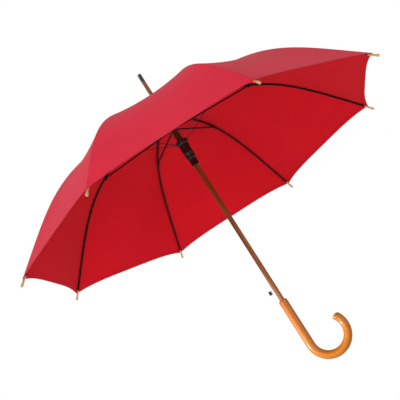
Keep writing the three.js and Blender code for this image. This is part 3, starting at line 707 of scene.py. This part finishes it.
def add_band(k, part):
    """The strip over rib k, where two gores are sewn together: a seam with a flat felled allowance below."""
    rows = wing_rows(part)
    shares = np.array([-1, -0.75, -0.52, -0.48, -0.25, 0, 0.25, 0.48, 0.52, 0.75, 1])
    middle = np.zeros((len(rows), len(shares), 3))
    normal = np.zeros_like(middle)
    for j, share in enumerate(shares):
        side = 1 if share >= 0 else -1
        across = -side * (1 - band_share(rows) * abs(share))
        azimuth = rib_azimuth(k) + side * HALF_GORE
        middle[:, j] = rotated(gore_points(rows, across), azimuth)
        normal[:, j] = rotated(gore_normals(rows, across), azimuth)
    ridge = list(shares).index(0)
    normal[:, ridge] = unit(normal[:, ridge - 1] + normal[:, ridge + 1])
    along = np.repeat(rows[:, None], len(shares), 1)
    seam = np.where(np.abs(shares)[None, :] < 0.5, SEAM_THICKNESS, FABRIC)
    thickness = np.maximum(seam, hem_thickness(along))
    body = f"{part}_rib_{k}"
    piece = shell_piece(f"seam_band_{part}_{k}", middle, normal, thickness, body, along,
                        shares[None, :] * band_share(rows)[:, None])
    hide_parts(PANELS[k - 1])
    for j, side_name in ((ridge - 1, "right"), (ridge + 1, "left")):
        line = middle[:, j] + normal[:, j] * FABRIC / 2
        stitches(f"seam_stitch_{part}_{k}_{side_name}", line, normal[:, j], body)


def add_canopy():
    for k in range(1, RIB_COUNT + 1):
        for part in ("inner", "outer"):
            add_band(k, part)
            for side in (1, -1):
                add_wing(k, side, part)


# ---- Handle, shaft and ferrule ------------------------------------------------------------

HANDLE_TOP_Z = 62.6
HANDLE_RADIUS = 11.0
CROOK_END_RADIUS = 10.0
CROOK_START_Z = -63.3
CROOK_BEND_RADIUS = 48.0
CROOK_ARC = math.radians(209)
CROOK_TIP_ARC = math.radians(11)
CROOK_TIP_RADIUS = 3.0
BORE_RADIUS = 6.55
SOCKET_BOTTOM_Z = 24.6
SHAFT_RADIUS = 6.25
FERRULE_TOP_Z = 743.0
FERRULE_CAP_TOP_Z = 766.0
FERRULE_CAP_RADIUS = 5.2
SPIGOT_RADIUS = 3.6
SPIGOT_TOP_Z = 759.0
CATCH_SLOT = ((-8, -2.8, 67.5), (-1.7, 2.8, 95.5))


def add_handle():
    """The grip and crook in one piece of wood, bored from above for the shaft."""
    frames = []

    def straight(z, radius):
        frames.append((np.array([0, 0, z]), np.array([1.0, 0, 0]), radius))

    for z, radius in ((SOCKET_BOTTOM_Z, 0.4), (SOCKET_BOTTOM_Z, BORE_RADIUS), (40, BORE_RADIUS),
                      (HANDLE_TOP_Z - 0.8, BORE_RADIUS), (HANDLE_TOP_Z - 0.1, BORE_RADIUS + 0.7)):
        straight(z, radius)
    for angle in np.linspace(0, math.pi / 2, 7):
        straight(HANDLE_TOP_Z - 3 * (1 - math.cos(angle)), HANDLE_RADIUS - 2.2 * (1 - math.sin(angle)))
    for z in np.linspace(HANDLE_TOP_Z - 10, CROOK_START_Z, 16):
        straight(z, HANDLE_RADIUS)

    def bent(angle, bend_radius, radius):
        out = np.array([-math.cos(angle), 0, -math.sin(angle)])
        centre = np.array([CROOK_BEND_RADIUS, 0, CROOK_START_Z])
        frames.append((centre + out * bend_radius, -out, radius))

    steps = 56
    for i in range(1, steps + 1):
        radius = HANDLE_RADIUS + (CROOK_END_RADIUS - HANDLE_RADIUS) * i / steps
        bent(CROOK_ARC * i / steps, CROOK_BEND_RADIUS, radius)
    # The end is rounded over from the outside of the bend and stays full along the inside.
    for turn in np.linspace(0, math.pi / 2, 13)[1:]:
        radius = CROOK_TIP_RADIUS + (CROOK_END_RADIUS - CROOK_TIP_RADIUS) * math.cos(turn)
        bend_radius = CROOK_BEND_RADIUS - CROOK_END_RADIUS + radius
        bent(CROOK_ARC + CROOK_TIP_ARC * math.sin(turn), bend_radius, radius)
    end, side, radius = frames[-1]
    frames.append((end, side, radius - 2))
    centres = [f[0] * MM for f in frames]
    sides = [f[1] for f in frames]
    ups = [np.array([0, 1.0, 0])] * len(frames)
    sections = [ring_section(f[2] * MM, 48) for f in frames]
    vertices, faces, uvs = swept(centres, sides, ups, sections)
    uvs = flipped_uvs(vertices, faces, uvs)
    piece = add_piece("handle_crook", vertices, outward(vertices, faces), [HANDLE_WOOD], "main",
                      "handle_wood", uvs=uvs, crease=50)
    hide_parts("handle")


def volume(vertices, faces):
    total = 0.0
    for face in faces:
        a = vertices[face[0]]
        for i in range(1, len(face) - 1):
            total += np.dot(a, np.cross(vertices[face[i]], vertices[face[i + 1]]))
    return total


def outward(vertices, faces):
    """The faces, turned over where they would enclose a negative volume."""
    return faces if volume(vertices, faces) > 0 else [tuple(reversed(face)) for face in faces]


def flipped_uvs(vertices, faces, uvs):
    """The corner UVs in the order that outward() leaves the faces in."""
    if volume(vertices, faces) > 0:
        return uvs
    result = []
    at = 0
    for face in faces:
        result += list(reversed([tuple(uv) for uv in uvs[at:at + len(face)]]))
        at += len(face)
    return np.array(result)


def add_turned(name, profile, material, body, slot, replaced, place=None, segments=48, cutters=None,
               crease=40):
    points = rounded(profile)
    vertices, faces, uvs = turned([(float(r), float(z)) for r, z in points], segments)
    if place is not None:
        vertices = np.array([place @ Vector(v) for v in vertices])
    uvs = flipped_uvs(vertices, faces, uvs)
    piece = add_piece(name, vertices, outward(vertices, faces), [material], body, slot, uvs=uvs,
                      cutters=cutters, crease=crease)
    if replaced:
        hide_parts(replaced)
    return piece


def add_shaft():
    low = SOCKET_BOTTOM_Z + 0.3
    rod = [(0, low), (SHAFT_RADIUS, low, 0.8), (SHAFT_RADIUS, 250), (SHAFT_RADIUS, 500), (SHAFT_RADIUS, 612),
           (5.8, 616), (5.0, FERRULE_TOP_Z - 0.3, 0.6), (SPIGOT_RADIUS, FERRULE_TOP_Z - 0.3),
           (SPIGOT_RADIUS, SPIGOT_TOP_Z, 0.5), (0, SPIGOT_TOP_Z)]
    add_turned("shaft_rod", rod, SHAFT_WOOD, "main", "shaft_wood", "shaft", cutters=[block(*CATCH_SLOT)])
    cap = [(3.9, FERRULE_TOP_Z), (FERRULE_CAP_RADIUS, FERRULE_TOP_Z, 0.3), (FERRULE_CAP_RADIUS, 746.4),
           (5.0, 747), (FERRULE_CAP_RADIUS, 747.6), (FERRULE_CAP_RADIUS, FERRULE_CAP_TOP_Z, 1.6),
           (0, FERRULE_CAP_TOP_Z), (0, 761), (3.9, 761)]
    add_turned("ferrule_end", cap, BLACK_PLASTIC, "main", "black_plastic", "ferrule_cap")


# ---- Ribs, stretchers and wires -----------------------------------------------------------

CROWN_PIVOT = np.array([9.0, 629.5]) * MM
HUB_PIVOT = np.array([9.0, 585.5]) * MM
RIB_AT_JOINT = JOINT_PIVOT + np.array([0, 0.8]) * MM
RIB_END = np.array([530.0, 390.0]) * MM
TIP_LENGTH = 28.0
LINK_ON_STRETCHER = 95 * MM


def in_rib_plane(points, azimuth, side=0.0):
    """Points given as distance and height, placed in a rib's plane."""
    points = np.asarray(points)
    return rotated(np.stack([points[..., 0], np.full(points.shape[:-1], side), points[..., 1]], -1), azimuth)


def channel(width, height, wall, lip):
    """A channel section, open below, with rounded upper corners."""
    w, h = width / 2, height / 2
    return [(-w, -h), (-w, h - lip), (-w + 0.3 * lip, h - 0.3 * lip), (-w + lip, h), (w - lip, h),
            (w - 0.3 * lip, h - 0.3 * lip), (w, h - lip), (w, -h), (w - wall, -h), (w - wall, h - wall),
            (-w + wall, h - wall), (-w + wall, -h)]


def pin(name, centre, azimuth, radius, half_length, body, material=None):
    """A rivet lying across a rib's plane, with domed heads."""
    across = Vector((-math.sin(azimuth), math.cos(azimuth), 0))
    place = Matrix.Translation(Vector(centre)) @ across.to_track_quat("Z", "Y").to_matrix().to_4x4()
    head = radius * 1.5
    profile = [(0, -half_length), (head * 0.7, -half_length + 0.08), (head, -half_length + 0.35),
               (radius, -half_length + 0.5), (radius, half_length - 0.5), (head, half_length - 0.35),
               (head * 0.7, half_length - 0.08), (0, half_length)]
    return add_turned(name, profile, material or DARK_STEEL, body, "dark_steel", None, place, 16)


def add_frame():
    for k in range(1, RIB_COUNT + 1):
        azimuth = rib_azimuth(k)
        joint = in_rib_plane(JOINT_PIVOT, azimuth)
        pin(f"joint_rivet_{k}", joint, azimuth, 0.9, 3.6, f"inner_rib_{k}")
        along = unit(JOINT_PIVOT - HUB_PIVOT)
        hook = HUB_PIVOT + along * LINK_ON_STRETCHER
        pin(f"link_pin_{k}", in_rib_plane(hook, azimuth, 1.5 * MM), azimuth, 0.7, 2.2, f"stretcher_{k}")
        across = rotated(np.array([0, 1.0, 0]), azimuth)
        end = downhill(RIB_END, SLOPE_AT_END, -TIP_LENGTH * MM)
        slope = downhill(np.zeros(2), SLOPE_AT_END, 1)
        outwards = in_rib_plane(slope, azimuth)
        upwards = np.cross(outwards, across)
        place = Matrix.Translation(Vector(in_rib_plane(end, azimuth)))
        place = place @ Vector(outwards).to_track_quat("Z", "Y").to_matrix().to_4x4()
        wood = [(1.7, 0), (2.5, 0, 0.3), (2.5, 11), (2.2, 12), (2.2, 12.8), (2.55, 13.6), (2.7, 17),
                (3.05, 20.5), (3.3, 23), (3.28, 25), (3.0, 26.8), (2.4, 27.7), (1.5, TIP_LENGTH),
                (0, TIP_LENGTH), (0, 12), (1.7, 12)]
        body = f"outer_rib_{k}"
        add_turned(f"turned_tip_{k}", wood, TIP_WOOD, body, "tip_wood", f"rib_tip_{k}", place, 24)
        corner = end + slope * 12.4 * MM
        for i, offset in enumerate((-0.25, 0.25)):
            centre = in_rib_plane(corner + slope * offset * MM, azimuth)
            ring = torus(centre, across, upwards, 2.35 * MM, 0.24 * MM)
            add_piece(f"tip_thread_{i + 1}_{k}", *ring, [THREAD], body, "fabric")
        add_rib_ties(k, azimuth)


def add_rib_ties(k, azimuth):
    """Loops of thread that tie the seam to the rib."""
    across = rotated(np.array([0, 1.0, 0]), azimuth)
    outer = bezier([RIB_AT_JOINT, downhill(RIB_AT_JOINT, SLOPE_AT_JOINT, 108 * MM),
                    downhill(RIB_END, SLOPE_AT_END, -165 * MM), RIB_END])
    for i, share in enumerate((0.3, 0.62)):
        at = int(share * (len(outer) - 1))
        forward = unit(outer[at + 1] - outer[at - 1])
        up = np.array([-forward[1], forward[0]])
        centre = outer[at] + up * 0.7 * MM
        for j, offset in enumerate((-0.4, 0.0, 0.4)):
            middle = in_rib_plane(centre + forward * offset * MM, azimuth)
            loop = rib_loop(middle, across, in_rib_plane(up, azimuth))
            add_piece(f"rib_tie_{i + 1}_{j + 1}_{k}", *loop, [THREAD], f"outer_rib_{k}", "fabric")


def rib_loop(centre, side, up):
    """A rounded square loop of thread round a rib's section."""
    vertices = []
    faces = []
    axis = np.cross(side, up)
    segments, sides = 24, 6
    for i in range(segments):
        angle = 2 * math.pi * i / segments
        c, s = math.cos(angle), math.sin(angle)
        reach = 2.25 * MM / (abs(c) ** 5 + abs(s) ** 5) ** 0.2
        out = side * c + up * s * 1.15
        vertices += [centre + out * (reach + a) + axis * b for a, b in ring_section(0.2 * MM, sides)]
    for i in range(segments):
        for j in range(sides):
            k, m = (j + 1) % sides, (i + 1) % segments
            faces.append((i * sides + k, i * sides + j, m * sides + j, m * sides + k))
    return vertices, faces


# ---- Runner -------------------------------------------------------------------------------

SLEEVE_BOTTOM_Z = 469.6
SLEEVE_STEP_Z = 492.0
SLEEVE_TOP_Z = 546.5
SPRING_TOP_Z = 581.7
SPRING_BOTTOM_Z = 495.5
SPRING_TURNS = 13
SPRING_RADIUS = 8.6 * MM
SPRING_WIRE_RADIUS = 1.2 * MM
SLEEVE_END_RADIUS = 10.8
SLEEVE_NECK_RADIUS = 10
SLEEVE_LOW_RADIUS = 12.5
SLEEVE_HIGH_RADIUS = 13.5
FLANGE_RADIUS = 16
SPRING_POCKET_RADIUS = 10.2


def add_runner():
    grooves = []
    for z in (499, 503, 507):
        radius = SLEEVE_LOW_RADIUS + (z - SLEEVE_STEP_Z) / 42.5
        grooves += [(radius, z), (radius - 0.45, z + 0.5), (radius - 0.45, z + 1.1), (radius, z + 1.6)]
    profile = [(BORE_RADIUS, SLEEVE_BOTTOM_Z, 0.3), (SLEEVE_END_RADIUS, SLEEVE_BOTTOM_Z, 0.5),
               (SLEEVE_END_RADIUS, 472.6, 0.5), (SLEEVE_NECK_RADIUS, 473.6), (SLEEVE_NECK_RADIUS, 490, 0.5),
               (SLEEVE_LOW_RADIUS, SLEEVE_STEP_Z, 0.6), *grooves, (SLEEVE_HIGH_RADIUS, 534.5, 0.5),
               (FLANGE_RADIUS, 536.5, 0.6), (FLANGE_RADIUS, 540.4), (15.6, 540.9), (15.6, 541.5),
               (FLANGE_RADIUS, 542), (FLANGE_RADIUS, SLEEVE_TOP_Z, 1.0),
               (SPRING_POCKET_RADIUS, SLEEVE_TOP_Z, 0.4), (SPRING_POCKET_RADIUS, SLEEVE_STEP_Z + 2),
               (BORE_RADIUS, SLEEVE_STEP_Z + 2, 0.4)]
    cutters = [block((12.4, 1.5, 538.5), (20, 3.7, 548), rib_azimuth(k)) for k in range(1, RIB_COUNT + 1)]
    cutters.append(block((-12, -1.5, SLEEVE_BOTTOM_Z - 1), (-5, 1.5, SLEEVE_BOTTOM_Z + 33)))
    cutters.append(block((-12, -2.8, SLEEVE_BOTTOM_Z + 6.5), (-5, 2.8, SLEEVE_BOTTOM_Z + 15)))
    cutters.append(block((-20, -3.9, SLEEVE_STEP_Z - 3), (-9.5, 3.9, SLEEVE_BOTTOM_Z + 36)))
    add_turned("sleeve_body", profile, BLACK_PLASTIC, "sleeve", "black_plastic", "runner_sleeve",
               cutters=cutters, segments=64)
    add_spring()
    wire_ring("crown_wire", CROWN_PIVOT, "main")
    wire_ring("hub_wire", HUB_PIVOT, "head")


def wire_ring(name, pivot, body):
    centre = np.array([0, 0, pivot[1]])
    ring = torus(centre, np.array([1.0, 0, 0]), np.array([0, 1.0, 0]), float(pivot[0]), 0.5 * MM, 64)
    add_piece(name, *ring, [BRIGHT_STEEL], body, "bright_steel")


def add_spring():
    per_turn = 28
    steps = SPRING_TURNS * per_turn
    centres, sides, ups = [], [], []
    for i in range(steps + 1):
        angle = 2 * math.pi * i / per_turn
        out = np.array([math.cos(angle), math.sin(angle), 0])
        z = SPRING_BOTTOM_Z + (SPRING_TOP_Z - SPRING_BOTTOM_Z) * i / steps
        centres.append(out * SPRING_RADIUS + np.array([0, 0, z * MM]))
        sides.append(out)
        ups.append(np.array([0, 0, 1.0]))
    sections = [ring_section(SPRING_WIRE_RADIUS, 10)] * len(centres)
    vertices, faces, _ = swept(centres, sides, ups, sections)
    faces = outward(vertices, faces)
    spring = add_piece("coil_spring", vertices, faces, [DARK_STEEL], "sleeve", "dark_steel", crease=60)
    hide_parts("opening_spring")
    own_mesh(spring)


# ---- Strap and rosette --------------------------------------------------------------------

STRAP_RIB = 3
STRAP_ALONG = (0.56, 0.86)
STRAP_OFFSET = -0.3
STRAP_HALF_WIDTH = 10 * MM
STRAP_LIFT = 2.2 * MM


def strap_grid(alongs, shares, lift):
    """Points over the strap: shares run across it from -1 to 1, and lift is above the gore."""
    along = np.repeat(np.asarray(alongs)[:, None], len(shares), 1)
    start = line_radius(np.array(STRAP_ALONG[0])) * math.sin(HALF_GORE) * STRAP_OFFSET
    half_width = line_radius(along) * math.sin(HALF_GORE)
    across = (start + np.asarray(shares)[None, :] * STRAP_HALF_WIDTH) / half_width
    azimuth = rib_azimuth(STRAP_RIB) + HALF_GORE
    normals = rotated(gore_normals(along, across), azimuth)
    return rotated(gore_points(along, across), azimuth) + normals * lift, normals, along, across


def add_strap():
    body = f"outer_rib_{STRAP_RIB}"
    alongs = np.linspace(*STRAP_ALONG, 30)
    shares = np.linspace(-1, 1, 9)
    middle, normal, along, across = strap_grid(alongs, shares, STRAP_LIFT)
    thickness = np.full(along.shape, 0.8 * MM)
    strap = shell_piece("strap", middle, normal, thickness, body, along, across)
    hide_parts("closure_strap")
    trims = []
    for name, share in (("left", -0.82), ("right", 0.82)):
        edge = np.linspace(STRAP_ALONG[0] + 0.004, STRAP_ALONG[1] - 0.004, 60)
        line, normals, _, _ = strap_grid(edge, [share], STRAP_LIFT + FABRIC / 2)
        trims.append(stitches(f"strap_stitch_{name}", line[:, 0], normals[:, 0], body))
    rows = (("top", STRAP_ALONG[0] + 0.006), ("patch", STRAP_ALONG[1] - 0.05),
            ("end", STRAP_ALONG[1] - 0.006))
    for name, place in rows:
        row = [place, place + 1e-6]
        line, normals, _, _ = strap_grid(row, np.linspace(-0.8, 0.8, 20), STRAP_LIFT + FABRIC / 2)
        trims.append(stitches(f"strap_stitch_{name}", line[0], normals[0], body))
    for piece in [strap, *trims]:
        pleat(piece, STRAP_RIB, 1, "outer")


CANOPY_APEX_Z = 637.6
ROSETTE_BORE_RADIUS = 6.3
ROSETTE_EDGE_RADIUS = 13
ROSETTE_PINKING = 0.35


def add_rosette():
    """A round patch sewn over the hole in the canopy's middle, lying under the shaft's shoulder."""
    rings = [(ROSETTE_BORE_RADIUS, 1.1), (8, 1.1), (9.5, 1.0), (11, 0.9), (12.2, 0.7),
             (ROSETTE_EDGE_RADIUS, 0.4)]
    segments = 72
    count = len(rings) * segments
    low = CANOPY_APEX_Z + 1.0
    vertices = []
    for thickness in (0.5, 0.0):
        for radius, rise in rings:
            for j in range(segments):
                angle = 2 * math.pi * j / segments
                ruffle = 0.25 * math.sin(angle * 16) * (radius / ROSETTE_EDGE_RADIUS) ** 3
                notch = ROSETTE_PINKING * math.cos(angle * 36) if radius == ROSETTE_EDGE_RADIUS else 0
                pinked = radius + notch
                z = low + rise + ruffle + thickness
                vertices.append((pinked * math.cos(angle), pinked * math.sin(angle), z))
    faces = []
    for i in range(len(rings) - 1):
        for j in range(segments):
            k = (j + 1) % segments
            a, b, c, d = i * segments + j, (i + 1) * segments + j, (i + 1) * segments + k, i * segments + k
            faces += [(a, b, c, d), (d + count, c + count, b + count, a + count)]
    for j in range(segments):
        k = (j + 1) % segments
        faces.append((k, j, j + count, k + count)[::-1])
        outer = (len(rings) - 1) * segments
        faces.append((outer + j, outer + k, outer + k + count, outer + j + count)[::-1])
    vertices = np.array(vertices) * MM
    rosette = add_piece("rosette", vertices, outward(vertices, faces), [FABRIC_OUT], "main", "fabric",
                        uvs=vertices[:, :2], crease=60)
    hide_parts("canopy_cap")
    angles = np.linspace(0, 2 * math.pi, 90)
    circle = np.stack([np.cos(angles) * 11.4, np.sin(angles) * 11.4, np.full(90, low + 1.4)], -1) * MM
    ups = np.repeat(np.array([[0, 0, 1.0]]), 90, 0)
    seam = stitches("rosette_stitch", circle, ups, "main")
    radius = (ROSETTE_EDGE_RADIUS + ROSETTE_PINKING) * MM


# ---- Carried-over nodes -------------------------------------------------------------------


def dress(name, material):
    obj = frame["nodes"][name]
    obj.material_slots[0].material = material


def dress_nodes():
    for k in range(1, RIB_COUNT + 1):
        for name in ("rib_inner", "rib_outer", "stretcher", "link_wire"):
            dress(f"{name}_{k}", DARK_STEEL)
    for name in ("crown", "runner_head", "release_button"):
        dress(name, BLACK_PLASTIC)
    dress("button_stem", BRIGHT_STEEL)


# ---- Build --------------------------------------------------------------------------------

bpy.context.scene.view_settings.view_transform = "Standard"
add_camera()
add_world()
add_floor()
add_area_light("key", (-1.9, -2.2, 1.9), (0, 0, 0.45), 1.6, 48)
add_area_light("fill", (2.4, -1.6, 0.6), (0, 0, 0.6), 1.6, 24)
add_area_light("low_front", (-0.7, -2.4, -0.4), (0, 0, 0.5), 1.4, 29)
add_spot_light("handle", (-1.3, -0.7, -0.12), (0.03, 0, -0.06), 150, math.radians(17))
add_canopy()
add_strap()
add_rosette()
add_handle()
add_shaft()
add_frame()
add_runner()
dress_nodes()
